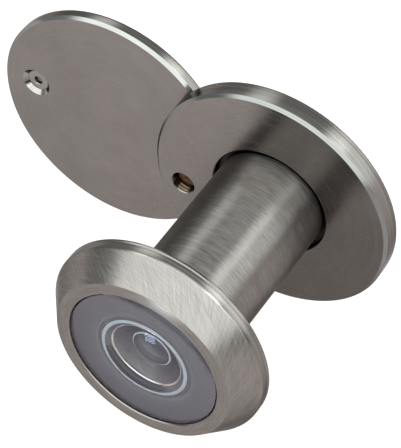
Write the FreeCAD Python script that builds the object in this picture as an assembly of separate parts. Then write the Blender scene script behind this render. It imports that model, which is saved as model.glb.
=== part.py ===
import FreeCAD, Part
import math
import os

# Door viewer with a swinging cover, for a 14 mm hole through a door 24 to 39 mm thick.
# Millimetres. The barrel's axis is Y: the lens looks along -Y, the room is at +Y, and +Z is up.
# The origin is on the barrel's axis, in the plane where the outer head rests on the door.

Vec = FreeCAD.Vector
AXIS = Vec(0, 1, 0)

# ---- driving dimensions ----
BARREL_R = 7.0            # slides into the 14 mm hole in the door
BARREL_LENGTH = 24.1      # from the back of the head to the end of the tube
BORE_R = 6.0              # inside of the barrel, threaded for the sleeve

HEAD_R = 13.6             # rim of the outer head
HEAD_DEPTH = 4.9          # from the door to the flat ring round the lens
RIM_WIDTH = 1.55          # straight band between the cone and the door
RING_R = 11.2             # outer edge of the flat ring
LENS_R = 9.55
LENS_RECESS = 0.2         # the glass lies this far behind the flat ring
LENS_EDGE = 0.8           # thickness of the glass at its rim
GASKET = 0.25
HOLLOW_R = 5.45           # of the spherical hollow in the back of the glass
HOLLOW_DEPTH = 0.5
SEAT_GAP = 0.05           # play left round each glass and ring

SLEEVE_R = 5.94           # crest of the thread that runs in the barrel
SLEEVE_BORE_R = 5.0
SLEEVE_START = 4.0        # front end of the sleeve when fully screwed in
SLEEVE_FLANGE_R = 8.5

ROSETTE_R = 15.65
ROSETTE_THICKNESS = 2.75
DOOR_GAP = 23.5           # head to rosette when fully screwed in: the thinnest door
ROSETTE_HOLE_R = 8.1      # lets the barrel's end in
WEB_START = 1.1           # the web that the sleeve's flange pulls on, from the door face
WEB_THICKNESS = 0.5

COVER_R = 15.65
COVER_THICKNESS = 1.7
COVER_GAP = 0.2           # room for the thrust washer
COUNTERSINK_R = 1.95      # for the knob's screw, in the cover's door face
COUNTERSINK = 1.0
PIVOT_RADIUS = 12.2       # barrel axis to cover pivot
PIVOT_BEARING = 194.6     # degrees from +X towards +Z, about the barrel's axis
OPEN_SWING = 157          # degrees from closed, over the eyepiece, to the rest pose
KNOB_RADIUS = 11.05       # cover centre to knob
KNOB_OFF_LINE = 1.6        # degrees between the knob and the line from pivot to centre

SHOULDER_R = 2.0          # of the pivot screw
SCREW_THREAD_R = 1.5      # M3
SCREW_RECESS = 0.8        # the screw ends this far inside the rosette's door face
SCREW_HEAD_R = 3.3
SCREW_HEAD = 1.1
RUNNING = 0.05            # radial play of a shaft in its hole
KNOB_SCREW_R = 0.8        # M1.6
SOCKET_R = 0.6            # corner radius of that screw's hexagonal socket
KNOB_HEIGHT = 4.2

# Where each piece of the optics starts and ends along the axis, from the lens to the eye.
FRONT_SPACER = (-3.6, -2.3)
SECOND_LENS = (-2.25, -0.85)
MIDDLE_SPACER = (-0.8, 0.55)
THIRD_LENS = (0.6, 2.1)
RETAINING_RING = (2.15, 3.3)
LIGHT_STOP = (14.9, 15.55)
SLEEVE_STEP = (15.6, 16.6)    # the step in the sleeve's bore that the eyepiece stands on
FIELD_LENS = (16.65, 17.85)
EYEPIECE_SPACER = (17.9, 21.4)
EYEPIECE_LENS = (21.45, 23.1)
EYEPIECE_RING = (23.15, 25.0)
FUNNEL_R = 4.6                # front opening of the ribbed front spacer
SECOND_CLEAR_R = 2.65         # curved part of each glass, out to this radius
THIRD_CLEAR_R = 4.2
EYEPIECE_CLEAR_R = 4.1

# ---- planes that follow from them ----
FACE = -HEAD_DEPTH
LENS_FRONT = FACE + LENS_RECESS
LENS_BACK = LENS_FRONT + LENS_EDGE
POCKET_FLOOR = LENS_BACK + GASKET
ROSETTE_DOOR = DOOR_GAP
ROSETTE_ROOM = DOOR_GAP + ROSETTE_THICKNESS
WEB_DOOR = DOOR_GAP + WEB_START
WEB_ROOM = WEB_DOOR + WEB_THICKNESS
SLEEVE_END = ROSETTE_ROOM - 0.08
COVER_DOOR = ROSETTE_ROOM + COVER_GAP
COVER_ROOM = COVER_DOOR + COVER_THICKNESS

PIVOT_X = PIVOT_RADIUS * math.cos(math.radians(PIVOT_BEARING))
PIVOT_Z = PIVOT_RADIUS * math.sin(math.radians(PIVOT_BEARING))
# The closed cover's centre is on the barrel's axis. Opening turns it back about the pivot,
# and a positive turn about +Y carries +Z towards +X, so a bearing grows when the cover opens.
COVER_BEARING = PIVOT_BEARING - 180 + OPEN_SWING
COVER_X = PIVOT_X + PIVOT_RADIUS * math.cos(math.radians(COVER_BEARING))
COVER_Z = PIVOT_Z + PIVOT_RADIUS * math.sin(math.radians(COVER_BEARING))
KNOB_X = COVER_X + KNOB_RADIUS * math.cos(math.radians(COVER_BEARING + KNOB_OFF_LINE))
KNOB_Z = COVER_Z + KNOB_RADIUS * math.sin(math.radians(COVER_BEARING + KNOB_OFF_LINE))


# ---- tools for turned parts: outlines are (radius, y) ----

def point(radius, y):
    return Vec(radius, y, 0)


def corner(before, at, after, size):
    """The start, middle and end of an arc of radius size that rounds the corner at a point."""
    back = (before - at).normalize()
    ahead = (after - at).normalize()
    half = back.getAngle(ahead) / 2
    reach = size / math.tan(half)
    centre = at + (back + ahead).normalize() * (size / math.sin(half))
    middle = centre + (at - centre).normalize() * size
    return at + back * reach, middle, at + ahead * reach


def outline(points):
    """Edges round a closed outline of (radius, y) or (radius, y, corner radius) points."""
    places = [point(p[0], p[1]) for p in points]
    starts, ends, edges = [], [], []
    for i, p in enumerate(points):
        here = places[i]
        if len(p) == 3:
            start, middle, end = corner(places[i - 1], here, places[(i + 1) % len(points)], p[2])
            edges.append(Part.Arc(start, middle, end).toShape())
        else:
            start = end = here
        starts.append(start)
        ends.append(end)
    for i, end in enumerate(ends):
        edges.append(Part.LineSegment(end, starts[(i + 1) % len(starts)]).toShape())
    return edges


def revolved(edges, x=0, z=0):
    """The solid that closed edges sweep out about the Y axis, moved to x, z."""
    wire = Part.Wire(Part.__sortEdges__(edges))
    solid = Part.Face(wire).revolve(Vec(0, 0, 0), AXIS, 360)
    solid.translate(Vec(x, 0, z))
    return solid


def turned(points, x=0, z=0):
    return revolved(outline(points), x, z)


def ring(inner, outer, start, end, x=0, z=0):
    """A plain ring, or a disc where inner is 0."""
    return turned([(inner, start), (outer, start), (outer, end), (inner, end)], x, z)


def sphere_edge(edge_r, edge_y, vertex_y):
    """The arc of a lens's surface, from its edge to its middle on the axis."""
    sag = vertex_y - edge_y
    curve = (edge_r ** 2 + sag ** 2) / (2 * abs(sag))
    fall = curve - math.sqrt(curve ** 2 - edge_r ** 2 / 4)
    half_way = point(edge_r / 2, vertex_y - math.copysign(fall, sag))
    return Part.Arc(point(edge_r, edge_y), half_way, point(0, vertex_y)).toShape()


def lens(radius, clear, front, back, front_bulge, back_bulge):
    """A lens from its edge planes, which stay flat outside the clear radius.

    A positive bulge stands out of the edge plane, a negative one is hollow.
    """
    front_middle = front - front_bulge
    back_middle = back + back_bulge
    ends = [(clear, front), (radius, front), (radius, back), (clear, back)]
    edges = [sphere_edge(clear, front, front_middle), sphere_edge(clear, back, back_middle)]
    for first, second in zip(ends, ends[1:]):
        edges.append(Part.LineSegment(point(*first), point(*second)).toShape())
    edges.append(Part.LineSegment(point(0, front_middle), point(0, back_middle)).toShape())
    return revolved(edges)


def slot(width, length, start, end, x=0, z=0, turn=0):
    """A box across a part's face, for a screwdriver or coin slot."""
    box = Part.makeBox(length, end - start, width, Vec(-length / 2, start, -width / 2))
    box.rotate(Vec(0, 0, 0), AXIS, turn)
    box.translate(Vec(x, 0, z))
    return box


# ---- outer body: head and barrel in one turned piece ----

def outer_body():
    groove_y = -0.45
    groove = 0.14
    edge = 0.15
    return turned([
        (BORE_R, POCKET_FLOOR, 0.3),
        (LENS_R + SEAT_GAP, POCKET_FLOOR),
        (LENS_R + SEAT_GAP, FACE),
        (RING_R, FACE),
        (HEAD_R, -RIM_WIDTH, 1.6),
        (HEAD_R, groove_y - groove),
        (HEAD_R - groove, groove_y),
        (HEAD_R, groove_y + groove),
        (HEAD_R, -edge),
        (HEAD_R - edge, 0),
        (BARREL_R, 0),
        (BARREL_R, BARREL_LENGTH - edge),
        (BARREL_R - edge, BARREL_LENGTH),
        (BORE_R + edge, BARREL_LENGTH),
        (BORE_R, BARREL_LENGTH - edge),
    ])


# ---- optics in the barrel ----

def objective_lens():
    """A flat disc of glass with a spherical hollow in its back."""
    bevel = 0.1
    hollow_middle = LENS_BACK - HOLLOW_DEPTH
    ends = [
        (0, LENS_FRONT),
        (LENS_R - bevel, LENS_FRONT),
        (LENS_R, LENS_FRONT + bevel),
        (LENS_R, LENS_BACK),
        (HOLLOW_R, LENS_BACK),
    ]
    edges = [sphere_edge(HOLLOW_R, LENS_BACK, hollow_middle)]
    for first, second in zip(ends, ends[1:]):
        edges.append(Part.LineSegment(point(*first), point(*second)).toShape())
    edges.append(Part.LineSegment(point(0, hollow_middle), point(0, LENS_FRONT)).toShape())
    return revolved(edges)


def lens_gasket():
    return ring(BORE_R + SEAT_GAP, LENS_R, LENS_BACK, POCKET_FLOOR)


def ribbed_spacer(seat, start_bore, end_bore, ribs):
    """A blackened spacer whose bore steps in fine ribs that stop stray light."""
    start, end = seat
    outer = BORE_R - SEAT_GAP
    depth = 0.1
    pitch = (end - start) / ribs
    slope = (end_bore - start_bore) / ribs
    points = [(outer, start), (outer, end), (end_bore, end)]
    for i in range(ribs, 0, -1):
        points.append((start_bore + i * slope - slope / 2 + depth, start + i * pitch - pitch / 2))
        points.append((start_bore + (i - 1) * slope, start + (i - 1) * pitch))
    return turned(points)


def lens_retaining_ring():
    """A threaded ring with a slot across its rear face."""
    start, end = RETAINING_RING
    outer = BORE_R - SEAT_GAP
    slot_width = 0.9
    slot_depth = 0.5
    body = ring(4.6, outer, start, end)
    return body.cut(slot(slot_width, 3 * outer, end - slot_depth, end + 1))


# ---- sleeve that screws into the barrel, with the eyepiece ----

def inner_sleeve():
    """Tube with a flange and coin slots. Its thread is plain here, at the crest's radius."""
    step_r = 4.4
    step_start, step_end = SLEEVE_STEP
    flange_front = WEB_ROOM + 0.02
    lead_in = 0.4
    coin_slot = 1.6
    coin_slot_depth = 0.45
    body = turned([
        (SLEEVE_BORE_R, SLEEVE_START),
        (SLEEVE_R - lead_in, SLEEVE_START),
        (SLEEVE_R, SLEEVE_START + lead_in),
        (SLEEVE_R, flange_front),
        (SLEEVE_FLANGE_R, flange_front),
        (SLEEVE_FLANGE_R, SLEEVE_END, 0.25),
        (SLEEVE_BORE_R, SLEEVE_END),
        (SLEEVE_BORE_R, step_end),
        (step_r, step_end),
        (step_r, step_start),
        (SLEEVE_BORE_R, step_start),
    ])
    across = slot(coin_slot, 3 * SLEEVE_FLANGE_R, SLEEVE_END - coin_slot_depth, SLEEVE_END + 1, turn=30)
    return body.cut(across)


def eyepiece_ring():
    """The bezel that holds the eyepiece lens, dished towards the eye."""
    front, back = EYEPIECE_RING
    outer = SLEEVE_BORE_R - SEAT_GAP
    seat_r = 4.15
    eye_r = 3.7
    rim_r = 4.6
    dish = 0.6
    lip = 0.3
    return turned([
        (seat_r, front),
        (outer, front),
        (outer, back),
        (rim_r, back),
        (eye_r, back - dish),
        (eye_r, back - dish - lip),
        (seat_r, back - dish - lip),
    ])


# ---- rosette and cover ----

def rosette():
    chamfer = 0.45
    body = turned([
        (ROSETTE_HOLE_R, ROSETTE_DOOR + 0.1),
        (ROSETTE_HOLE_R + 0.1, ROSETTE_DOOR),
        (ROSETTE_R - chamfer, ROSETTE_DOOR),
        (ROSETTE_R, ROSETTE_DOOR + chamfer),
        (ROSETTE_R, ROSETTE_ROOM, 0.3),
        (SLEEVE_FLANGE_R + 0.1, ROSETTE_ROOM),
        (SLEEVE_FLANGE_R + 0.1, WEB_ROOM),
        (SLEEVE_R + RUNNING, WEB_ROOM),
        (SLEEVE_R + RUNNING, WEB_DOOR),
        (ROSETTE_HOLE_R, WEB_DOOR),
    ])
    hole = turned([
        (0, ROSETTE_DOOR - 1),
        (SCREW_THREAD_R + 1.1, ROSETTE_DOOR - 1),
        (SCREW_THREAD_R, ROSETTE_DOOR + 0.1),
        (SCREW_THREAD_R, ROSETTE_ROOM + 1),
        (0, ROSETTE_ROOM + 1),
    ], PIVOT_X, PIVOT_Z)
    return body.cut(hole)


def pivot_screw():
    """Shoulder screw: its head is on the room side, its end shows in the rosette's door face."""
    thread = SCREW_THREAD_R - SEAT_GAP
    head = COVER_ROOM + 0.25
    body = turned([
        (0, ROSETTE_DOOR + SCREW_RECESS),
        (thread - 0.3, ROSETTE_DOOR + SCREW_RECESS),
        (thread, ROSETTE_DOOR + SCREW_RECESS + 0.3),
        (thread, ROSETTE_ROOM + 0.01),
        (SHOULDER_R, ROSETTE_ROOM + 0.01),
        (SHOULDER_R, head),
        (SCREW_HEAD_R, head),
        (SCREW_HEAD_R, head + SCREW_HEAD, 0.5),
        (0, head + SCREW_HEAD),
    ], PIVOT_X, PIVOT_Z)
    slot_width = 0.8
    slot_depth = 0.5
    top = head + SCREW_HEAD
    return body.cut(slot(slot_width, 3 * SCREW_HEAD_R, top - slot_depth, top + 1, PIVOT_X, PIVOT_Z, 35))


def thrust_washer():
    return ring(SHOULDER_R + RUNNING, 3.1, ROSETTE_ROOM + 0.02, COVER_DOOR - 0.02, PIVOT_X, PIVOT_Z)


def wave_washer():
    return ring(SHOULDER_R + RUNNING, 3.1, COVER_ROOM + 0.03, COVER_ROOM + 0.21, PIVOT_X, PIVOT_Z)


def cover_disc():
    chamfer = 0.3
    body = turned([
        (0, COVER_DOOR),
        (COVER_R - chamfer, COVER_DOOR),
        (COVER_R, COVER_DOOR + chamfer),
        (COVER_R, COVER_ROOM, 0.35),
        (0, COVER_ROOM),
    ], COVER_X, COVER_Z)
    pivot = ring(0, SHOULDER_R + RUNNING, COVER_DOOR - 1, COVER_ROOM + 1, PIVOT_X, PIVOT_Z)
    countersink = turned([
        (0, COVER_DOOR - 0.1),
        (COUNTERSINK_R + 0.1, COVER_DOOR - 0.1),
        (KNOB_SCREW_R + 0.1, COVER_DOOR + COUNTERSINK),
        (KNOB_SCREW_R + 0.1, COVER_ROOM + 1),
        (0, COVER_ROOM + 1),
    ], KNOB_X, KNOB_Z)
    return body.cut(pivot).cut(countersink)


def knob_screw():
    """Countersunk M1.6 screw with a hexagonal socket, from the cover's door face into the knob."""
    sunk = 0.45
    head = COVER_DOOR + sunk
    head_r = COUNTERSINK_R - sunk - 0.04
    screw_end = COVER_ROOM + 2.6
    body = turned([
        (0, head),
        (head_r, head),
        (KNOB_SCREW_R - 0.03, head + (head_r - KNOB_SCREW_R + 0.03)),
        (KNOB_SCREW_R - 0.03, screw_end),
        (0, screw_end),
    ], KNOB_X, KNOB_Z)
    socket_depth = 0.6
    above = 1
    corners = []
    for i in range(7):
        x = KNOB_X + SOCKET_R * math.cos(math.radians(60 * i))
        z = KNOB_Z + SOCKET_R * math.sin(math.radians(60 * i))
        corners.append(Vec(x, head - above, z))
    socket = Part.Face(Part.makePolygon(corners)).extrude(Vec(0, above + socket_depth, 0))
    return body.cut(socket)


def cover_knob():
    """Turned knob with a waist, on the cover's room face."""
    foot = COVER_ROOM + 0.01
    top = foot + KNOB_HEIGHT
    waist = foot + 1.3
    foot_r = 2.6
    waist_r = 1.9
    grip_r = 2.9
    body = turned([
        (0, foot),
        (foot_r, foot),
        (foot_r, foot + 0.5),
        (waist_r, waist),
        (waist_r, waist + 0.4),
        (grip_r, top - 1.4),
        (grip_r, top, 0.8),
        (0, top),
    ], KNOB_X, KNOB_Z)
    thread = ring(0, KNOB_SCREW_R, foot - 1, foot + 2.8, KNOB_X, KNOB_Z)
    return body.cut(thread)


def parts():
    in_barrel = BORE_R - SEAT_GAP
    in_sleeve = SLEEVE_BORE_R - SEAT_GAP
    return {
        "outer_body": outer_body(),
        "objective_lens": objective_lens(),
        "lens_gasket": lens_gasket(),
        "front_spacer": ribbed_spacer(FRONT_SPACER, FUNNEL_R, SECOND_CLEAR_R + 0.1, 5),
        "second_lens": lens(in_barrel, SECOND_CLEAR_R, *SECOND_LENS, 0.85, -0.5),
        "middle_spacer": ribbed_spacer(MIDDLE_SPACER, THIRD_CLEAR_R + 0.1, THIRD_CLEAR_R + 0.1, 3),
        "third_lens": lens(in_barrel, THIRD_CLEAR_R, *THIRD_LENS, -0.3, -0.5),
        "lens_retaining_ring": lens_retaining_ring(),
        "inner_sleeve": inner_sleeve(),
        "light_stop": ring(3.2, in_sleeve, *LIGHT_STOP),
        "field_lens": lens(in_sleeve, EYEPIECE_CLEAR_R, *FIELD_LENS, 0.35, 0.7),
        "eyepiece_spacer": ring(4.2, in_sleeve, *EYEPIECE_SPACER),
        "eyepiece_lens": lens(in_sleeve, EYEPIECE_CLEAR_R, *EYEPIECE_LENS, 0.5, 0.8),
        "eyepiece_ring": eyepiece_ring(),
        "rosette": rosette(),
        "pivot_screw": pivot_screw(),
        "thrust_washer": thrust_washer(),
        "cover_disc": cover_disc(),
        "wave_washer": wave_washer(),
        "knob_screw": knob_screw(),
        "cover_knob": cover_knob(),
    }


os.makedirs("parts", exist_ok=True)
for name, shape in parts().items():
    shape.exportStep("parts/" + name + ".step")
    print(name, shape.isValid(), round(shape.Volume, 2), len(shape.Solids))
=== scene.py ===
import math

import bmesh
import bpy
from mathutils import Matrix, Quaternion, Vector

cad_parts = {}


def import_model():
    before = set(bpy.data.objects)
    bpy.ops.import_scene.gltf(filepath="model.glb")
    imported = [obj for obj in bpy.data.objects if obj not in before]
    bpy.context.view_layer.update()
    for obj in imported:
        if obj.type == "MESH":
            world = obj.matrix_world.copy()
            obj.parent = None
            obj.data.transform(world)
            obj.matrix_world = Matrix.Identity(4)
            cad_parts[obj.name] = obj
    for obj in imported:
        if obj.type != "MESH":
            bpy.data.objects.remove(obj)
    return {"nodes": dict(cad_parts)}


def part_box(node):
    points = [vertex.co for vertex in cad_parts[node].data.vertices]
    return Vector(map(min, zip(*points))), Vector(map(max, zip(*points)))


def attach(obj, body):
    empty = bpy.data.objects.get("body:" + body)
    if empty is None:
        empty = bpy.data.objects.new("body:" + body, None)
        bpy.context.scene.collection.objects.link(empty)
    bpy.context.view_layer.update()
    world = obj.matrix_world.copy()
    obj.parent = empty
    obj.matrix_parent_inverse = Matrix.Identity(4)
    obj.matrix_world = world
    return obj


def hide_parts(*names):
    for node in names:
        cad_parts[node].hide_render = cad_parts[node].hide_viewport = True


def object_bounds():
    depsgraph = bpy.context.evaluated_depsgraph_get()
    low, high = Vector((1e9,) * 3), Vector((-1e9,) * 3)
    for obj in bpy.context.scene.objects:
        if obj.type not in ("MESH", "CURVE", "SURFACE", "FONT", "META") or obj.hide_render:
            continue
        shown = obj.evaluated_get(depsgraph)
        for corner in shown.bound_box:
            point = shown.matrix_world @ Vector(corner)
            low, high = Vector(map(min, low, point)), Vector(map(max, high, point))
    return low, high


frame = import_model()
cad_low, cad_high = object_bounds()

# Door viewer, with the cover swung open. The frame is in metres: the barrel's axis is Y, the lens
# looks along -Y and the room is at +Y. Outlines below are (radius, y) in millimetres.

MM = 0.001
SEGMENTS = 192

# ---- places read from the frame ----

def span(node):
    """Lowest and highest corner of a CAD node, in millimetres."""
    low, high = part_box(node)
    return Vector(low) / MM, Vector(high) / MM


def centre_of(node):
    low, high = span(node)
    middle = (low + high) / 2
    return middle.x, middle.z


head_low, head_high = span("outer_body")
FACE = head_low.y
HEAD_R = (head_high.x - head_low.x) / 2
BARREL_END = head_high.y
rosette_low, rosette_high = span("rosette")
ROSETTE_R = (rosette_high.x - rosette_low.x) / 2
ROSETTE_DOOR, ROSETTE_ROOM = rosette_low.y, rosette_high.y
cover_low, cover_high = span("cover_disc")
COVER_R = (cover_high.x - cover_low.x) / 2
COVER_DOOR, COVER_ROOM = cover_low.y, cover_high.y
COVER = centre_of("cover_disc")
PIVOT = centre_of("pivot_screw")
KNOB = centre_of("cover_knob")


# Sizes that repeat the part's own, where the frame's boxes don't give them.
BARREL_R = 7.0
BORE_R = 6.0
RIM_WIDTH = 1.55
RING_R = 11.2
POCKET_R = 9.6
LENS_R = 9.55
LENS_FRONT = FACE + 0.2
LENS_BACK = LENS_FRONT + 0.8
POCKET_FLOOR = LENS_BACK + 0.25
HOLLOW_R = 5.45
HOLLOW_DEPTH = 0.5
SEAT_R = 5.95
FRONT_SPACER = (-3.6, -2.3)
SECOND_LENS = (-2.25, -0.85)
SECOND_CLEAR_R = 2.65
THIRD_LENS = (0.6, 2.1)
THIRD_CLEAR_R = 4.2
WEB_DOOR, WEB_ROOM = ROSETTE_DOOR + 1.1, ROSETTE_DOOR + 1.6
FLANGE_R = 8.5
SLEEVE_R = 5.94
SLEEVE_BORE_R = 5.0
SLEEVE_START = 4.0
SLEEVE_STEP = (15.6, 16.6)
SLEEVE_LENS_R = 4.95
SLEEVE_CLEAR_R = 4.1
FIELD_LENS = (16.65, 17.85)
EYEPIECE_LENS = (21.45, 23.1)
EYEPIECE_RING = (23.15, 25.0)
COUNTERSINK_R = 1.95
THREAD_R = 1.5
SHOULDER_R = 2.0
KNOB_HEIGHT = 4.2

# Sizes that are only drawn here. The hole is tighter round the barrel than the part's own clearance hole.
ROSETTE_HOLE_R = 7.6
ROSETTE_CHAMFER_WIDTH = 0.38
COVER_CHAMFER_WIDTH = 0.38
FUNNEL_R = 4.55
FUNNEL_END_R = 2.75
FUNNEL_RIBS = 7
RIM_GROOVE = 0.14
RIM_GROOVE_Y = -0.45
THREAD_ROOT_R = 5.57
THREAD_PITCH = 1.0
SCREW_PITCH = 0.5


# ---- meshes ----

def rounded(before, at, after, size, steps=5):
    """Points of an arc that rounds the corner at a point of an outline."""
    back = (before - at).normalized()
    ahead = (after - at).normalized()
    half = back.angle(ahead) / 2
    reach = min(size / math.tan(half), 0.45 * (before - at).length, 0.45 * (after - at).length)
    start, end = at + back * reach, at + ahead * reach
    centre = at + (back + ahead).normalized() * (reach / math.cos(half))
    from_centre = (start - centre).normalized()
    to_end = (end - centre).normalized()
    turn = from_centre.angle(to_end)
    points = []
    for i in range(steps + 1):
        share = i / steps
        weight_a = math.sin((1 - share) * turn) / math.sin(turn)
        weight_b = math.sin(share * turn) / math.sin(turn)
        points.append(centre + (from_centre * weight_a + to_end * weight_b) * (start - centre).length)
    return points


def smooth_outline(points, closed, edge):
    """The outline with every corner rounded, by its own third value or else by edge."""
    places = [Vector((p[0], p[1])) for p in points]
    out = []
    for i, p in enumerate(points):
        size = p[2] if len(p) == 3 else edge
        ends = not closed and i in (0, len(points) - 1)
        if ends or size == 0 or p[0] == 0:
            out.append(places[i])
            continue
        out += rounded(places[i - 1], places[i], places[(i + 1) % len(places)], size)
    return out


def object_from(bm, name, sharp=math.radians(38)):
    bmesh.ops.recalc_face_normals(bm, faces=bm.faces)
    for face in bm.faces:
        face.smooth = True
    for e in bm.edges:
        e.smooth = len(e.link_faces) != 2 or e.calc_face_angle(0) < sharp
    mesh = bpy.data.meshes.new(name)
    bm.to_mesh(mesh)
    bm.free()
    obj = bpy.data.objects.new(name, mesh)
    bpy.context.scene.collection.objects.link(obj)
    return obj


def turned(name, points, middle=(0, 0), edge=0.03, segments=SEGMENTS):
    """A solid of revolution about a line along Y through middle. An outline from radius 0 closes there."""
    closed = points[0][0] > 0
    line = smooth_outline(points, closed, edge)
    bm = bmesh.new()
    rings = []
    for place in line:
        radius, y = place.x * MM, place.y * MM
        if radius < 1e-9:
            rings.append([bm.verts.new((middle[0] * MM, y, middle[1] * MM))])
            continue
        ring = []
        for i in range(segments):
            angle = 2 * math.pi * i / segments
            ring.append(bm.verts.new((middle[0] * MM + radius * math.cos(angle), y,
                                      middle[1] * MM + radius * math.sin(angle))))
        rings.append(ring)
    pairs = list(zip(rings, rings[1:]))
    if closed:
        pairs.append((rings[-1], rings[0]))
    for first, second in pairs:
        for i in range(segments):
            j = (i + 1) % segments
            if len(first) == 1 and len(second) == 1:
                break
            if len(first) == 1:
                bm.faces.new((first[0], second[i], second[j]))
            elif len(second) == 1:
                bm.faces.new((first[i], first[j], second[0]))
            else:
                bm.faces.new((first[i], first[j], second[j], second[i]))
    return object_from(bm, name)


def paint(piece, materials, zone):
    """Gives each face the material that zone names for its radius, y and outward slope."""
    names = list(materials)
    for material in materials.values():
        piece.data.materials.append(material)
    for polygon in piece.data.polygons:
        polygon.material_index = names.index(zone(polygon.center / MM, polygon.normal))
    return piece


def coat(piece, material):
    """Gives the whole piece one material."""
    piece.data.materials.clear()
    piece.data.materials.append(material)


def inside_of(piece, middle, radius, start, end, material):
    """Gives the wall of a hole its own material."""
    piece.data.materials.append(material)
    for polygon in piece.data.polygons:
        at = polygon.center / MM
        if math.hypot(at.x - middle[0], at.z - middle[1]) < radius and start + 0.001 < at.y < end - 0.001:
            polygon.material_index = len(piece.data.materials) - 1


def cap(edge_r, edge_y, middle_y, steps=14):
    """A lens surface as outline points, from just inside its edge to its middle on the axis."""
    sag = middle_y - edge_y
    curve = (edge_r ** 2 + sag ** 2) / (2 * sag)
    points = []
    for i in range(1, steps + 1):
        radius = edge_r * (1 - i / steps)
        rise = math.copysign(math.sqrt(curve ** 2 - radius ** 2), curve)
        points.append((radius, middle_y - curve + rise, 0))
    return points


def threaded(name, crest, root, pitch, start, end, steps=64):
    """The outer surface of a helical thread, as an open tube along Y."""
    rows = []
    turns = math.ceil((end - start) / pitch) + 1
    for turn in range(-1, turns):
        for share, radius in ((0.0, root), (0.12, root), (0.44, crest), (0.56, crest), (0.88, root)):
            rows.append((start + (turn + share) * pitch, radius))
    bm = bmesh.new()
    grid = []
    for i in range(steps + 1):
        angle = 2 * math.pi * i / steps
        line = []
        for y, radius in rows:
            y += pitch * i / steps
            inside = start < y < end
            y = min(max(y, start), end)
            r = radius if inside else root
            line.append(bm.verts.new((r * MM * math.cos(angle), y * MM, r * MM * math.sin(angle))))
        grid.append(line)
    for first, second in zip(grid, grid[1:]):
        for j in range(len(rows) - 1):
            bm.faces.new((first[j], first[j + 1], second[j + 1], second[j]))
    bmesh.ops.remove_doubles(bm, verts=bm.verts, dist=1e-7)
    bmesh.ops.dissolve_degenerate(bm, edges=bm.edges, dist=1e-7)
    return object_from(bm, name)


def box_tool(name, size, middle, turn=0):
    """A box whose edges are size, turned by degrees about Y, for cutting."""
    bm = bmesh.new()
    bmesh.ops.create_cube(bm, size=1)
    obj = object_from(bm, name)
    obj.data.transform(Matrix.Diagonal((*(Vector(size) * MM), 1)))
    obj.data.transform(Matrix.Rotation(math.radians(turn), 4, "Y"))
    obj.data.transform(Matrix.Translation(Vector(middle) * MM))
    return obj


def joined(name, *pieces):
    """One object from several that don't touch or only meet at a face."""
    bm = bmesh.new()
    for piece in pieces:
        bm.from_mesh(piece.data)
        bpy.data.objects.remove(piece)
    return object_from(bm, name)


def cut(piece, *tools):
    """Takes the tools' volume out of a piece, and removes them."""
    for tool in tools:
        modifier = piece.modifiers.new("cut", "BOOLEAN")
        modifier.object = tool
        modifier.operation = "DIFFERENCE"
        modifier.solver = "EXACT"
        modifier.material_mode = "INDEX"
        bpy.context.view_layer.update()
        shape = bpy.data.meshes.new_from_object(piece.evaluated_get(bpy.context.evaluated_depsgraph_get()))
        piece.modifiers.clear()
        piece.data = shape
        bpy.data.objects.remove(tool)
    bm = bmesh.new()
    bm.from_mesh(piece.data)
    for e in bm.edges:
        e.smooth = len(e.link_faces) != 2 or e.calc_face_angle(0) < math.radians(38)
    bm.to_mesh(piece.data)
    bm.free()
    return piece


# ---- materials ----

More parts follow.
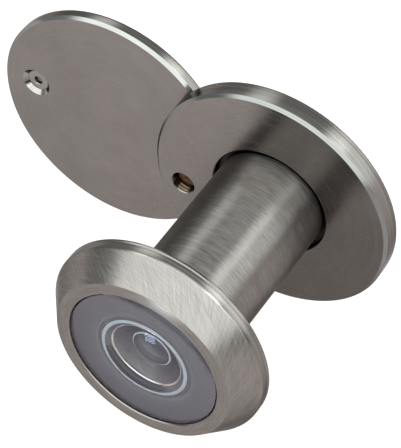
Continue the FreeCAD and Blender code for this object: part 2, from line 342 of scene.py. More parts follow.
class Nodes:
    """A material's node tree, with short calls for the nodes used here."""

    def __init__(self, name):
        self.material = bpy.data.materials.new(name)
        self.material.use_nodes = True
        self.tree = self.material.node_tree
        self.shader = self.tree.nodes["Principled BSDF"]

    def add(self, kind, **values):
        node = self.tree.nodes.new(kind)
        for key, value in values.items():
            setattr(node, key, value)
        return node

    def link(self, source, target):
        self.tree.links.new(source, target)

    def feed(self, socket, value):
        if hasattr(value, "is_output"):
            self.link(value, socket)
        else:
            socket.default_value = value

    def sum(self, operation, a, b=0.0, clamp=False):
        node = self.add("ShaderNodeMath", operation=operation, use_clamp=clamp)
        self.feed(node.inputs[0], a)
        self.feed(node.inputs[1], b)
        return node.outputs[0]

    def place(self):
        """Object coordinates in millimetres, as x, y and z."""
        coords = self.add("ShaderNodeTexCoord")
        scale = self.add("ShaderNodeVectorMath", operation="SCALE")
        self.link(coords.outputs["Object"], scale.inputs[0])
        scale.inputs["Scale"].default_value = 1 / MM
        split = self.add("ShaderNodeSeparateXYZ")
        self.link(scale.outputs[0], split.inputs[0])
        return split.outputs[0], split.outputs[1], split.outputs[2]

    def round_place(self, middle=(0, 0)):
        """Radius and angle about a line along Y, and y."""
        x, y, z = self.place()
        x = self.sum("SUBTRACT", x, middle[0])
        z = self.sum("SUBTRACT", z, middle[1])
        radius = self.sum("SQRT", self.sum("ADD", self.sum("MULTIPLY", x, x), self.sum("MULTIPLY", z, z)))
        angle = self.sum("ARCTAN2", z, x)
        return radius, angle, y

    def vector(self, x, y, z):
        node = self.add("ShaderNodeCombineXYZ")
        for socket, value in zip(node.inputs, (x, y, z)):
            self.feed(socket, value)
        return node.outputs[0]

    def noise(self, vector, scale=1.0, detail=2.0, rough=0.5):
        node = self.add("ShaderNodeTexNoise")
        self.link(vector, node.inputs["Vector"])
        node.inputs["Scale"].default_value = scale
        node.inputs["Detail"].default_value = detail
        node.inputs["Roughness"].default_value = rough
        return node.outputs["Fac"]

    def spread(self, value, low, high, out_low, out_high):
        node = self.add("ShaderNodeMapRange")
        self.feed(node.inputs["Value"], value)
        for socket, number in zip(list(node.inputs)[1:5], (low, high, out_low, out_high)):
            socket.default_value = number
        return node.outputs[0]

    def ramp(self, value, stops):
        node = self.add("ShaderNodeValToRGB")
        self.link(value, node.inputs[0])
        elements = node.color_ramp.elements
        while len(elements) < len(stops):
            elements.new(0.5)
        for element, (position, colour) in zip(elements, stops):
            element.position = position
            element.color = (*colour, 1)
        return node.outputs[0]

    def bump(self, height, strength, distance):
        node = self.add("ShaderNodeBump")
        self.link(height, node.inputs["Height"])
        node.inputs["Strength"].default_value = strength
        node.inputs["Distance"].default_value = distance
        self.link(node.outputs[0], self.shader.inputs["Normal"])

    def set(self, **values):
        for key, value in values.items():
            self.feed(self.shader.inputs[key.replace("_", " ")], value)


NICKEL = (0.178, 0.163, 0.154)
GRAZING = 0.4        # satin plating stays dull at a grazing angle
COATING = (0.22, 0.2, 0.36)        # what the lens coating leaves of a reflection
SCRATCH_R = 12.0     # where the length of a scratch round a circle is measured


def shade(colour, factor):
    return tuple(factor * c for c in colour)


def round_lines(m, radius, angle, y, across_lines, along_lines):
    """Noise drawn out along circles about the axis."""
    turn = SCRATCH_R * along_lines
    where = m.vector(m.sum("MULTIPLY", m.sum("COSINE", angle), turn),
                     m.sum("MULTIPLY", m.sum("SINE", angle), turn),
                     m.sum("MULTIPLY", m.sum("ADD", radius, y), across_lines))
    return m.noise(where, 1.0, 3.0, 0.65)


def slanted_lines(m, angle, y, across_lines, along_lines, slants):
    """Noise drawn out along helices, one layer for each slant."""
    arc = m.sum("MULTIPLY", angle, SCRATCH_R)
    total = None
    for slant in slants:
        lean, rise = math.cos(slant), math.sin(slant)
        along = m.sum("ADD", m.sum("MULTIPLY", arc, lean), m.sum("MULTIPLY", y, rise))
        across = m.sum("SUBTRACT", m.sum("MULTIPLY", y, lean), m.sum("MULTIPLY", arc, rise))
        where = m.vector(m.sum("MULTIPLY", across, across_lines),
                         m.sum("MULTIPLY", along, along_lines), slant * 9)
        layer = m.noise(where, 1.0, 2.0, 0.6)
        total = layer if total is None else m.sum("ADD", total, layer)
    spread = m.sum("MULTIPLY", m.sum("SUBTRACT", total, 0.5 * len(slants)), 1 / math.sqrt(len(slants)))
    return m.sum("ADD", spread, 0.5)


def scratched(name, middle=(0, 0), lines=(6.0, 0.5), slants=(), contrast=0.16, rough=0.3, spread=0.06,
              shine=0.6, depth=0.3, colour=NICKEL, tint=0.05):
    """Plated metal with fine scratches. lines is how often they repeat in a millimetre across and along
    themselves. They run round the circle, or lean away from it by each of the slants, in radians."""
    m = Nodes(name)
    radius, angle, y = m.round_place(middle)
    if slants:
        fine = slanted_lines(m, angle, y, *lines, slants)
    else:
        fine = round_lines(m, radius, angle, y, *lines)
    cloud = m.noise(m.vector(*m.place()), 0.22, 2.0, 0.5)
    scratches = m.spread(fine, 0.25, 0.75, -contrast, contrast)
    tone = m.sum("ADD", m.sum("ADD", scratches, m.spread(cloud, 0.3, 0.7, -tint, tint)), 0.5)
    m.set(Base_Color=m.ramp(tone, [(0.2, shade(colour, 0.7)), (0.8, shade(colour, 1.3))]))
    m.set(Metallic=1.0, Anisotropic=shine, Anisotropic_Rotation=0.25)
    m.set(Specular_Tint=(GRAZING, GRAZING, GRAZING, 1))
    m.set(Roughness=m.spread(fine, 0.25, 0.75, rough - spread, rough + spread))
    tangent = m.add("ShaderNodeTangent", direction_type="RADIAL", axis="Y")
    m.link(tangent.outputs[0], m.shader.inputs["Tangent"])
    m.bump(fine, depth, 0.00002)
    return m.material


def glass(name, tint=(1, 1, 1), dust_rough=0.04):
    """Coated glass with a little dust. Each surface takes its share of the tint."""
    m = Nodes(name)
    dust = m.noise(m.vector(*m.place()), 14.0, 4.0, 0.7)
    m.set(Base_Color=(*tint, 1), IOR=1.5, Transmission_Weight=1.0, Specular_Tint=(*COATING, 1))
    m.set(Roughness=m.spread(dust, 0.62, 0.8, 0.0, dust_rough))
    return m.material


def plain(name, colour, rough, gloss=0.5, grain_size=9.0, contrast=0.2):
    """A matt or painted surface with fine grain."""
    m = Nodes(name)
    grain = m.noise(m.vector(*m.place()), grain_size, 3.0)
    dark, light = shade(colour, 1 - contrast), shade(colour, 1 + contrast)
    m.set(Base_Color=m.ramp(grain, [(0.3, dark), (0.7, light)]))
    m.set(Roughness=m.spread(grain, 0.3, 0.7, rough - 0.05, rough + 0.05), Specular_IOR_Level=gloss)
    m.bump(grain, 0.1, 0.00001)
    return m.material


def gasket_material():
    """Grey-violet rubber with a painted glow that makes it paler towards its inner lip, round the lens's
    hollow, and with dark gaps in the cement at its outer edge.
    """
    m = Nodes("gasket_rubber_painted_glow")
    radius, angle, y = m.round_place()
    place_at = m.vector(*m.place())
    grain = m.noise(place_at, 4.0, 3.0)
    # Painted glow: paler towards the inner lip round the lens's hollow, darker towards the outer edge.
    pale = m.ramp(m.spread(radius, 6.0, 9.4, 0.0, 1.0), [
        (0.0, (0.05, 0.054, 0.066)),
        (0.12, (0.024, 0.025, 0.033)),
        (0.35, (0.013, 0.013, 0.019)),
        (1.0, (0.006, 0.006, 0.01)),
    ])
    sector = m.spread(m.sum("COSINE", m.sum("SUBTRACT", angle, 1.15)), 0.75, 0.95, 0.0, 1.0)
    outer = m.spread(radius, 9.0, 9.2, 0.0, 1.0)
    chips = m.spread(m.noise(place_at, 1.1, 2.0, 0.7), 0.47, 0.52, 0.0, 1.0)
    gaps = m.sum("MULTIPLY", m.sum("MULTIPLY", sector, outer), chips, clamp=True)
    mix = m.add("ShaderNodeMix", data_type="RGBA")
    m.link(gaps, mix.inputs["Factor"])
    m.link(pale, mix.inputs[6])
    mix.inputs[7].default_value = (0.01, 0.01, 0.012, 1)
    m.set(Base_Color=mix.outputs[2], Roughness=m.spread(grain, 0.3, 0.7, 0.5, 0.62), Specular_IOR_Level=0.2)
    m.bump(grain, 0.1, 0.00001)
    return m.material


BARREL_METAL = scratched("nickel_barrel", lines=(9.0, 0.3), contrast=0.34,
                         rough=0.33, shine=0.85, depth=0.5)
CONE_METAL = scratched("nickel_cone", lines=(9.0, 0.25), slants=(0.55, 0.2, 0.85), contrast=0.24,
                       rough=0.3, shine=0.3, depth=0.35)
RING_METAL = scratched("nickel_ring", lines=(4.0, 0.25), contrast=0.14, rough=0.28, shine=0.5, depth=0.12)
RIM_METAL = scratched("nickel_rim", lines=(4.0, 0.05), contrast=0.35, rough=0.22, shine=0.6, depth=0.8)
FACE_METAL = scratched("nickel_rosette_face", lines=(4.0, 0.2), contrast=0.06,
                       rough=0.25, shine=0.6, depth=0.06)
COVER_METAL = scratched("nickel_cover_face", COVER, lines=(3.0, 0.2), contrast=0.05,
                        rough=0.25, shine=0.5, depth=0.05)
COVER_RIM = scratched("nickel_cover_rim", COVER, lines=(4.0, 0.05), contrast=0.35,
                      rough=0.22, shine=0.6, depth=0.8)
EDGE_METAL = scratched("nickel_bright_edge", lines=(3.0, 0.3), contrast=0.1,
                       rough=0.2, shine=0.2, depth=0.1, colour=(0.36, 0.35, 0.34))
CHAMFER_METAL = scratched("nickel_chamfer", lines=(4.0, 0.1), contrast=0.12,
                          rough=0.2, shine=0.3, depth=0.15, colour=(0.18, 0.178, 0.174))
COVER_CHAMFER = scratched("nickel_cover_chamfer", COVER, lines=(4.0, 0.1), contrast=0.12,
                          rough=0.2, shine=0.3, depth=0.15, colour=(0.24, 0.235, 0.228))
SLEEVE_METAL = scratched("nickel_sleeve", lines=(4.0, 0.3), contrast=0.14, rough=0.3, shine=0.4, depth=0.2)
KNOB_METAL = scratched("nickel_knob", KNOB, lines=(5.0, 0.3), contrast=0.12,
                       rough=0.28, shine=0.5, depth=0.2)
PIVOT_METAL = scratched("nickel_pivot", PIVOT, lines=(5.0, 0.3), contrast=0.12,
                        rough=0.28, shine=0.5, depth=0.2)
SINK_METAL = scratched("countersink", KNOB, lines=(5.0, 0.4), contrast=0.2,
                       rough=0.14, shine=0.4, depth=0.2, colour=(0.24, 0.225, 0.21))
SCREW_STEEL = scratched("screw_steel", KNOB, lines=(6.0, 1.2), contrast=0.2,
                        rough=0.2, shine=0.2, depth=0.2, colour=(0.22, 0.21, 0.2))
SCREW_BRASS = scratched("screw_brass", PIVOT, lines=(5.0, 1.5), contrast=0.3,
                        rough=0.25, shine=0.2, depth=0.3, colour=(0.08, 0.048, 0.024))
HOLE_METAL = scratched("thread_wall", PIVOT, lines=(5.0, 0.5), contrast=0.3,
                       rough=0.2, shine=0.2, depth=0.3, colour=(0.07, 0.05, 0.032))
DARK_METAL = scratched("oxidised_inside", lines=(4.0, 0.3), contrast=0.3,
                       rough=0.35, shine=0.2, depth=0.3, colour=(0.035, 0.03, 0.027))
WASHER_STEEL = scratched("spring_steel", PIVOT, lines=(6.0, 0.4), contrast=0.2,
                         rough=0.25, shine=0.4, depth=0.2, colour=(0.3, 0.3, 0.3))
SPACER = scratched("spacer_grey", lines=(7.0, 0.12), contrast=0.7,
                   rough=0.3, shine=0.6, depth=0.9, colour=(0.022, 0.022, 0.024))
NYLON = plain("nylon", (0.62, 0.61, 0.57), 0.45)
ANODISED = plain("black_anodised", (0.012, 0.012, 0.013), 0.5, 0.15, 12.0)
LENS_PAINT = plain("lens_edge_paint", (0.004, 0.004, 0.005), 0.6, 0.05)
GROUND_GLASS = plain("ground_glass_edge", (0.29, 0.32, 0.38), 0.5, contrast=0.2)
GASKET = gasket_material()
CLEAR = glass("optical_glass")
# The second lens's dome is tinted dark: painted shade, for the dark inside of the viewer.
SHADE_DARKENED_GLASS = glass("inner_glass_painted_shade", (0.1, 0.11, 0.12), 0.02)
# The field lens is tinted dark: painted shade, so the inside of the viewer stays dark in the view through
# the lenses.
SHADE_TINTED_GLASS = glass("dark_glass", (0.22, 0.25, 0.3))


def place(piece, body, slot, *nodes):
    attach(piece, body)
    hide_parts(*nodes)
    return piece


# ---- head and barrel ----

def outer_body():
    body = turned("head_and_barrel", [
        (BORE_R, POCKET_FLOOR, 0.25),
        (POCKET_R, POCKET_FLOOR, 0.04),
        (POCKET_R, FACE + 0.12, 0.03),
        (POCKET_R + 0.1, FACE, 0.03),
        (RING_R, FACE, 0.07),
        (HEAD_R, -RIM_WIDTH, 0.9),
        (HEAD_R, RIM_GROOVE_Y - RIM_GROOVE, 0.03),
        (HEAD_R - RIM_GROOVE, RIM_GROOVE_Y, 0.02),
        (HEAD_R, RIM_GROOVE_Y + RIM_GROOVE, 0.03),
        (HEAD_R, -0.15, 0.05),
        (HEAD_R - 0.15, 0, 0.05),
        (BARREL_R + 0.1, 0, 0.04),
        (BARREL_R, 0.1, 0.03),
        (BARREL_R, BARREL_END - 0.2, 0.08),
        (BARREL_R - 0.2, BARREL_END, 0.08),
        (BORE_R + 0.2, BARREL_END, 0.05),
        (BORE_R, BARREL_END - 0.2, 0.05),
    ])

    def zone(at, normal):
        radius = math.hypot(at.x, at.z)
        if radius < BORE_R + 0.02:
            return "inside"
        if at.y > 0.02:
            return "edge" if at.y > BARREL_END - 0.22 and radius > BORE_R + 0.3 else "barrel"
        if radius < POCKET_R + 0.01:
            return "inside"
        if at.y < FACE + 0.01 or (at.y < FACE + 0.13 and radius < POCKET_R + 0.15):
            return "ring"
        return "rim" if at.y > -RIM_WIDTH else "cone"

    paint(body, {"ring": RING_METAL, "cone": CONE_METAL, "rim": RIM_METAL, "barrel": BARREL_METAL,
                 "edge": EDGE_METAL, "inside": ANODISED}, zone)
    place(body, "head", "nickel", "outer_body")


def optic(name, outline, node, body="head", zone=None, material=CLEAR):
    piece = turned(name, outline, edge=0.03)
    if zone:
        glasses = {"clear": CLEAR, "dark": SHADE_DARKENED_GLASS, "black": LENS_PAINT, "ground": GROUND_GLASS}
        paint(piece, glasses, zone)
    else:
        coat(piece, material)
    place(piece, body, "glass", node)


def lens_outline(radius, clear, planes, front_bulge, back_bulge):
    """Outline of a lens from its edge planes, as in the part: a positive bulge stands out of the plane."""
    start, end = planes
    front = list(reversed(cap(clear, start, start - front_bulge)))
    back = cap(clear, end, end + back_bulge)
    rim = [(clear, start, 0.02), (radius, start, 0.08), (radius, end, 0.08), (clear, end, 0.02)]
    return front + rim + back


def optics():
    inner, step = HOLLOW_R - 0.32, LENS_BACK - 0.13

    def objective_zone(at, normal):
        """Painted wall, and a ground bevel round the hollow."""
        radius = math.hypot(at.x, at.z)
        if radius > LENS_R - 0.03 and at.y > LENS_FRONT + 0.12:
            return "black"
        return "ground" if at.y > step and inner < radius < HOLLOW_R + 0.1 else "clear"

    def second_zone(at, normal):
        """Painted outside the clear dome, whose foot is ground."""
        radius = math.hypot(at.x, at.z)
        if radius > SECOND_CLEAR_R + 0.15:
            return "black"
        # The dome's glass is tinted dark as painted shade for the inside of the viewer.
        return "ground" if at.y < -1.5 and radius > SECOND_CLEAR_R - 0.13 else "dark"

    optic("objective", [
        (0, LENS_FRONT),
        (LENS_R - 0.1, LENS_FRONT, 0.02),
        (LENS_R, LENS_FRONT + 0.1, 0.03),
        (LENS_R, LENS_BACK, 0.05),
        (HOLLOW_R + 0.1, LENS_BACK, 0.02),
        (inner, step, 0.02),
    ] + cap(inner, step, LENS_BACK - HOLLOW_DEPTH), "objective_lens", zone=objective_zone)
    second = lens_outline(SEAT_R, SECOND_CLEAR_R, SECOND_LENS, 0.85, -0.5)
    optic("second_lens", second, "second_lens", zone=second_zone)
    optic("third_lens", lens_outline(SEAT_R, THIRD_CLEAR_R, THIRD_LENS, -0.3, -0.5), "third_lens")
    field = lens_outline(SLEEVE_LENS_R, SLEEVE_CLEAR_R, FIELD_LENS, 0.35, 0.7)
    # The field lens's dark tint is painted shade for the inside of the viewer.
    optic("field_lens", field, "field_lens", "sleeve", material=SHADE_TINTED_GLASS)
    eyepiece = lens_outline(SLEEVE_LENS_R, SLEEVE_CLEAR_R, EYEPIECE_LENS, 0.5, 0.8)
    optic("eyepiece_lens", eyepiece, "eyepiece_lens", "sleeve")


def front_spacer():
    """The blackened funnel behind the lens, with fine ribs turned into its wall."""
    start, end = FRONT_SPACER
    points = [(SEAT_R, start, 0.04), (SEAT_R, end), (FUNNEL_END_R, end)]
    for i in range(FUNNEL_RIBS, 0, -1):
        for share, groove in (((i - 0.5) / FUNNEL_RIBS, 0.07), ((i - 1) / FUNNEL_RIBS, 0)):
            radius = FUNNEL_END_R + (FUNNEL_R - FUNNEL_END_R) * (1 - share)
            points.append((radius + groove, start + (end - start) * share))
    points[-1] = (FUNNEL_R, start + 0.1, 0.03)
    points.append((FUNNEL_R + 0.1, start, 0.02))
    piece = turned("ribbed_spacer", points, edge=0.015)

    def zone(at, normal):
        radius = math.hypot(at.x, at.z)
        wide_mouth = at.y < start + 0.11 and radius < FUNNEL_R + 0.11
        narrow_mouth = at.y > end - 0.13 and radius < FUNNEL_END_R + 0.1
        if wide_mouth or narrow_mouth:
            return "edge"
        return "wall" if radius < FUNNEL_R and at.y < end - 0.01 else "black"

    paint(piece, {"wall": SPACER, "edge": EDGE_METAL, "black": ANODISED}, zone)
    place(piece, "head", "black_anodised", "front_spacer")


def gasket():
    """The grey ring that shows through the glass, with a raised lip round the bore."""
    inner = BORE_R + 0.05
    piece = turned("gasket_ring", [
        (inner, LENS_BACK + 0.02, 0.03),
        (inner + 0.3, LENS_BACK + 0.02, 0.08),
        (inner + 0.5, LENS_BACK + 0.1, 0.2),
        (LENS_R - 0.3, LENS_BACK + 0.1, 0.1),
        (LENS_R - 0.05, LENS_BACK + 0.02, 0.05),
        (LENS_R, POCKET_FLOOR, 0.03),
        (inner, POCKET_FLOOR, 0.03),
    ])
    coat(piece, GASKET)
    place(piece, "head", "black_rubber", "lens_gasket")


# ---- sleeve and eyepiece ----

def sleeve():
    """The flanged tube, with a coin slot across its end and its thread as a helix."""
    flange = WEB_ROOM + 0.02
    end = ROSETTE_ROOM - 0.08
    slot_depth = 0.45
    shell_r = THREAD_ROOT_R + 0.01
    step_start, step_end = SLEEVE_STEP
    shell = turned("sleeve_shell", [
        (SLEEVE_BORE_R, SLEEVE_START, 0.1),
        (shell_r - 0.08, SLEEVE_START, 0.1),
        (shell_r, SLEEVE_START + 0.4, 0.05),
        (shell_r, flange - 0.5, 0.05),
        (SLEEVE_R, flange - 0.5, 0.05),
        (SLEEVE_R, flange, 0.03),
        (FLANGE_R, flange, 0.05),
        (FLANGE_R, end, 0.25),
        (SLEEVE_BORE_R, end, 0.05),
        (SLEEVE_BORE_R, step_end),
        (SLEEVE_BORE_R - 0.6, step_end, 0.03),
        (SLEEVE_BORE_R - 0.6, step_start, 0.03),
        (SLEEVE_BORE_R, step_start),
    ])
    cut(shell, box_tool("coin_slot", (3 * FLANGE_R, 2, 1.6), (0, end - slot_depth + 1, 0), 30))
    thread_start, thread_end = SLEEVE_START + 0.4, flange - 0.6
    thread = threaded("sleeve_thread", SLEEVE_R, THREAD_ROOT_R, THREAD_PITCH, thread_start, thread_end)
    piece = joined("threaded_sleeve", shell, thread)

    def zone(at, normal):
        return "inside" if math.hypot(at.x, at.z) < SLEEVE_BORE_R + 0.1 and at.y < end - 1 else "metal"

    paint(piece, {"metal": SLEEVE_METAL, "inside": ANODISED}, zone)
    place(piece, "sleeve", "nickel", "inner_sleeve")


def bezel():
    """The ring that holds the eyepiece lens in the sleeve."""
    start, end = EYEPIECE_RING
    piece = turned("eyepiece_bezel", [
        (4.15, start),
        (SLEEVE_LENS_R, start),
        (SLEEVE_LENS_R, end, 0.06),
        (4.6, end, 0.06),
        (3.7, end - 0.6, 0.05),
        (3.7, end - 0.9, 0.03),
        (4.15, end - 0.9),
    ])
    coat(piece, SLEEVE_METAL)
    place(piece, "sleeve", "nickel", "eyepiece_ring")


# ---- rosette, cover and their screws ----

def on_chamfer(at, normal, middle, outer, door, width):
    """Whether a face is on the bevel between a disc's door side and its rim."""
    radius = math.hypot(at.x - middle[0], at.z - middle[1])
    return at.y < door + width and radius > outer - width and normal.y < -0.2


def rosette():
    body = turned("rosette_plate", [
        (ROSETTE_HOLE_R, ROSETTE_DOOR + 0.12, 0.03),
        (ROSETTE_HOLE_R + 0.12, ROSETTE_DOOR, 0.03),
        (ROSETTE_R - ROSETTE_CHAMFER_WIDTH, ROSETTE_DOOR, 0.05),
        (ROSETTE_R, ROSETTE_DOOR + ROSETTE_CHAMFER_WIDTH, 0.06),
        (ROSETTE_R, ROSETTE_ROOM, 0.3),
        (FLANGE_R + 0.1, ROSETTE_ROOM, 0.05),
        (FLANGE_R + 0.1, WEB_ROOM, 0.03),
        (SLEEVE_R + 0.05, WEB_ROOM, 0.03),
        (SLEEVE_R + 0.05, WEB_DOOR, 0.03),
        (ROSETTE_HOLE_R, WEB_DOOR, 0.05),
    ])

    def zone(at, normal):
        radius = math.hypot(at.x, at.z)
        if radius < ROSETTE_HOLE_R + 0.13:
            return "edge" if at.y < ROSETTE_DOOR + 0.14 else "inside"
        if on_chamfer(at, normal, (0, 0), ROSETTE_R, ROSETTE_DOOR, ROSETTE_CHAMFER_WIDTH):
            return "edge"
        return "rim" if radius > ROSETTE_R - 0.12 else "face"

    paint(body, {"face": FACE_METAL, "rim": RIM_METAL, "edge": CHAMFER_METAL, "inside": DARK_METAL}, zone)
    start = ROSETTE_DOOR + 0.12
    ridges = [(0, ROSETTE_DOOR - 1), (THREAD_R + 1.12, ROSETTE_DOOR - 1), (THREAD_R, start)]
    for i in range(5):
        y = start + SCREW_PITCH * i
        ridges += [(THREAD_R + 0.12, y + 0.2, 0.02), (THREAD_R - 0.06, y + 0.45, 0.02)]
    ridges += [(THREAD_R, ROSETTE_ROOM + 1), (0, ROSETTE_ROOM + 1)]
    cut(body, turned("pivot_hole", ridges, PIVOT, segments=64))
    inside_of(body, PIVOT, THREAD_R + 0.13, start, ROSETTE_ROOM, HOLE_METAL)
    place(body, "rosette", "nickel", "rosette")


def cover():
    body = turned("cover_plate", [
        (0, COVER_DOOR),
        (COVER_R - COVER_CHAMFER_WIDTH, COVER_DOOR, 0.05),
        (COVER_R, COVER_DOOR + COVER_CHAMFER_WIDTH, 0.06),
        (COVER_R, COVER_ROOM, 0.35),
        (0, COVER_ROOM),
    ], COVER)

    def zone(at, normal):
        if on_chamfer(at, normal, COVER, COVER_R, COVER_DOOR, COVER_CHAMFER_WIDTH):
            return "edge"
        return "rim" if math.hypot(at.x - COVER[0], at.z - COVER[1]) > COVER_R - 0.12 else "face"

    paint(body, {"face": COVER_METAL, "rim": COVER_RIM, "edge": COVER_CHAMFER}, zone)
    sink = turned("sink", [
        (0, COVER_DOOR - 0.1),
        (COUNTERSINK_R + 0.1, COVER_DOOR - 0.1),
        (COUNTERSINK_R, COVER_DOOR),
        (0.9, COVER_DOOR + 1.0),
        (0.9, COVER_ROOM + 1),
        (0, COVER_ROOM + 1),
    ], KNOB, segments=96)
    hole_r = SHOULDER_R + 0.05
    pivot = turned("pivot_bore", [
        (0, COVER_DOOR - 1),
        (hole_r, COVER_DOOR - 1),
        (hole_r, COVER_ROOM + 1),
        (0, COVER_ROOM + 1),
    ], PIVOT, segments=96)
    cut(body, sink, pivot)
    inside_of(body, KNOB, COUNTERSINK_R, COVER_DOOR, COVER_ROOM, SINK_METAL)
    place(body, "cover", "nickel", "cover_disc")


def knob_screw():
    head = COVER_DOOR + 0.45
    shank_r, socket_r = 0.77, 0.62
    piece = turned("countersunk_screw", [
        (0, head),
        (1.4, head, 0.05),
        (1.46, head + 0.06, 0.03),
        (shank_r, head + 0.72, 0.05),
        (shank_r, COVER_ROOM + 2.5, 0.1),
        (0, COVER_ROOM + 2.6),
    ], KNOB, segments=96)
    socket = turned("socket", [
        (0, head - 0.5),
        (socket_r + 0.1, head - 0.5),
        (socket_r + 0.1, head),
        (socket_r, head + 0.06),
        (socket_r, head + 0.55),
        (0, head + 0.75),
    ], KNOB, segments=6)
    cut(piece, socket)
    coat(piece, SCREW_STEEL)
    place(piece, "cover", "screw_steel", "knob_screw")


def cover_knob():
    foot = COVER_ROOM + 0.01
    top = foot + KNOB_HEIGHT
    foot_r, neck_r, grip_r, bore_r = 2.6, 1.9, 2.9, 0.8
    piece = turned("grip_knob", [
        (0, foot),
        (foot_r, foot, 0.05),
        (foot_r, foot + 0.5, 0.15),
        (neck_r, foot + 1.3, 0.3),
        (neck_r, foot + 1.7, 0.3),
        (grip_r, top - 1.4, 0.15),
        (grip_r, top - 1.12, 0.03),
        (grip_r - 0.12, top - 1.02, 0.02),
        (grip_r, top - 0.92, 0.03),
        (grip_r, top, 0.7),
        (0.5, top),
        (0, top - 0.05),
    ], KNOB)
    bore = turned("knob_bore", [
        (0, foot - 1),
        (bore_r, foot - 1),
        (bore_r, foot + 2.8),
        (0, foot + 2.9),
    ], KNOB, segments=64)
    cut(piece, bore)
    coat(piece, KNOB_METAL)
    place(piece, "cover", "nickel", "cover_knob")


def pivot_screw():
    end = ROSETTE_DOOR + 0.8
    head = COVER_ROOM + 0.25
    top = head + 1.1
    head_r, slot_depth = 3.3, 0.5
    points = [(0, end + 0.12), (0.35, end, 0.03), (1.1, end, 0.08)]
    for i in range(3):
        y = end + 0.25 + SCREW_PITCH * i
        points += [(1.42, y, 0.03), (1.2, y + 0.25, 0.03)]
    points += [
        (1.45, ROSETTE_ROOM, 0.02),
        (SHOULDER_R, ROSETTE_ROOM + 0.01, 0.05),
        (SHOULDER_R, head, 0.02),
        (head_r, head, 0.06),
        (head_r, top, 0.45),
        (0, top),
    ]
    piece = turned("shoulder_screw", points, PIVOT, segments=96)
    cut(piece, box_tool("driver_slot", (9, 2, 0.8), (PIVOT[0], top - slot_depth + 1, PIVOT[1])))
    piece.data.materials.clear()

    def zone(at, normal):
        return "nickel" if at.y > ROSETTE_ROOM + 0.1 else "brass"

    paint(piece, {"brass": SCREW_BRASS, "nickel": PIVOT_METAL}, zone)
    place(piece, "rosette", "brass", "pivot_screw")


def wave_washer():
    """A thin ring bent into three waves round the pivot."""
    inner, outer, thick, rise, waves = 2.06, 3.1, 0.08, 0.045, 3
    middle = COVER_ROOM + 0.12
    corners = ((inner, -1), (outer, -1), (outer, 1), (inner, 1))
    bm = bmesh.new()
    sections = []
    for i in range(SEGMENTS):
        angle = 2 * math.pi * i / SEGMENTS
        section = []
        for radius, side in corners:
            x = PIVOT[0] + radius * math.cos(angle)
            y = middle + rise * math.cos(waves * angle) + side * thick / 2
            z = PIVOT[1] + radius * math.sin(angle)
            section.append(bm.verts.new((x * MM, y * MM, z * MM)))
        sections.append(section)
    for i, section in enumerate(sections):
        after = sections[(i + 1) % SEGMENTS]
        for j in range(len(corners)):
            k = (j + 1) % len(corners)
            bm.faces.new((section[j], section[k], after[k], after[j]))
    piece = object_from(bm, "wave_spring")
    coat(piece, WASHER_STEEL)
    place(piece, "rosette", "spring_steel", "wave_washer")


outer_body()
optics()
front_spacer()
gasket()
sleeve()
bezel()
rosette()
cover()
knob_screw()
cover_knob()
pivot_screw()
wave_washer()

for node, material in (("middle_spacer", ANODISED), ("lens_retaining_ring", ANODISED),
                       ("light_stop", ANODISED), ("eyepiece_spacer", ANODISED), ("thrust_washer", NYLON)):
    coat(frame["nodes"][node], material)


# ---- stage ----

def level_square(name, middle, reach, z):
    """A level square sheet. All is in metres."""
    bm = bmesh.new()
    corners = [bm.verts.new((middle[0] + x * reach, middle[1] + y * reach, z))
               for x, y in ((-1, -1), (1, -1), (1, 1), (-1, 1))]
    bm.faces.new(corners)
    return object_from(bm, name)


def floor():
    """A light table: pale, and lit through from below."""
    obj = level_square("floor", (0, 0), 1.2, cad_low.z - 0.00002)
    m = Nodes("light_table")
    m.set(Base_Color=(0.1, 0.1, 0.1, 1), Roughness=0.9, Specular_IOR_Level=0.0)
    m.set(Emission_Color=(1.08, 1.02, 1.0, 1), Emission_Strength=1.0)
    coat(obj, m.material)


def shadow_card():
    """A dark card on the table under the barrel that the camera doesn't see: a painted shadow, the shade
    under the part, which only shows where the metal mirrors the table.
    """
    middle, reach, core, fade = (3, 13), 26, 12.0, 21.0
    obj = level_square("painted_shadow_sheet", (middle[0] * MM, middle[1] * MM), reach * MM, cad_low.z + 0.00004)
    m = Nodes("painted_shadow_card")
    x, y, z = m.place()
    x = m.sum("SUBTRACT", x, middle[0])
    y = m.sum("SUBTRACT", y, middle[1])
    radius = m.sum("SQRT", m.sum("ADD", m.sum("MULTIPLY", x, x), m.sum("MULTIPLY", y, y)))
    # Painted shadow: dark and half opaque in the middle under the barrel, fading out towards the card's
    # edge.
    m.set(Base_Color=(0.05, 0.04, 0.035, 1), Roughness=0.9, Specular_IOR_Level=0.0)
    m.set(Alpha=m.spread(radius, core, fade, 0.5, 0.0))
    coat(obj, m.material)
    obj.visible_camera = False
    obj.visible_shadow = False


SKY = 0.55
# For each soft light: its direction, the angles in degrees at which it stops being full and at which it
# ends, and its strength.
SOFT_LIGHTS = [
    ((0.1, -0.62, 0.78), 48, 64, 3.2),
    ((0.5, 0.585, 0.64), 2, 13, 4.5),
    ((0.62, 0.0, 0.78), 2, 11, 15.0),
    ((0.9, -0.05, 0.42), 4, 20, 3.0),
    ((-0.6, 0.0, 0.79), 2, 13, 4.5),
    ((0.74, 0.585, 0.34), 5, 26, 2.4),
    ((-0.5, 0.585, 0.64), 2, 14, 2.6),
]


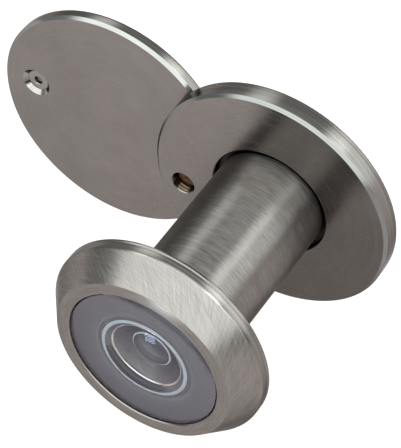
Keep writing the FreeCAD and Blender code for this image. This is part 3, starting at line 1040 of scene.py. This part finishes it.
def world():
    """A dim studio with large soft lights."""
    sky = bpy.data.worlds.new("studio")
    sky.use_nodes = True
    tree = sky.node_tree
    coords = tree.nodes.new("ShaderNodeTexCoord")
    total = None
    for direction, full, end, strength in SOFT_LIGHTS:
        dot = tree.nodes.new("ShaderNodeVectorMath")
        dot.operation = "DOT_PRODUCT"
        tree.links.new(coords.outputs["Generated"], dot.inputs[0])
        dot.inputs[1].default_value = Vector(direction).normalized()
        fall = tree.nodes.new("ShaderNodeMapRange")
        fall.interpolation_type = "SMOOTHSTEP"
        tree.links.new(dot.outputs["Value"], fall.inputs["Value"])
        fall.inputs["From Min"].default_value = math.cos(math.radians(end))
        fall.inputs["From Max"].default_value = math.cos(math.radians(full))
        fall.inputs["To Max"].default_value = strength
        add = tree.nodes.new("ShaderNodeMath")
        add.operation = "ADD"
        tree.links.new(fall.outputs[0], add.inputs[0])
        if total is None:
            add.inputs[1].default_value = SKY
        else:
            tree.links.new(total, add.inputs[1])
        total = add.outputs[0]
    background = tree.nodes["Background"]
    background.inputs["Color"].default_value = (0.92, 0.985, 0.97, 1)
    tree.links.new(total, background.inputs["Strength"])
    bpy.context.scene.world = sky


def glint_lamp():
    """A very small cool lamp low in front, for the glint on the inner lens."""
    place_at, reach = Vector((-0.007, -0.0268, -0.0095)), 0.004
    data = bpy.data.lights.new("glint", "AREA")
    data.shape = "RECTANGLE"
    data.size = reach
    data.size_y = reach
    data.energy = 0.001
    data.color = (0.75, 0.92, 1.0)
    obj = bpy.data.objects.new("glint", data)
    bpy.context.scene.collection.objects.link(obj)
    obj.location = place_at
    obj.rotation_mode = "QUATERNION"
    obj.rotation_quaternion = (-place_at).to_track_quat("-Z", "Y")


def camera():
    azimuth, elevation, roll = math.radians(30.82), math.radians(46.96), math.radians(0.05)
    distance = 0.2573
    back = Vector((math.sin(azimuth) * math.cos(elevation), -math.cos(azimuth) * math.cos(elevation),
                   math.sin(elevation)))
    data = bpy.data.cameras.new("camera")
    data.lens = 187.0
    data.clip_start = 0.01
    obj = bpy.data.objects.new("camera", data)
    bpy.context.scene.collection.objects.link(obj)
    target = Vector((0.121, 7.63, 10.84)) * MM
    obj.location = target + back * distance
    obj.rotation_mode = "QUATERNION"
    obj.rotation_quaternion = (-back).to_track_quat("-Z", "Y") @ Quaternion((0, 0, 1), roll)
    bpy.context.scene.camera = obj


bpy.context.scene.view_settings.view_transform = "Standard"
floor()
shadow_card()
world()
glint_lamp()
camera()
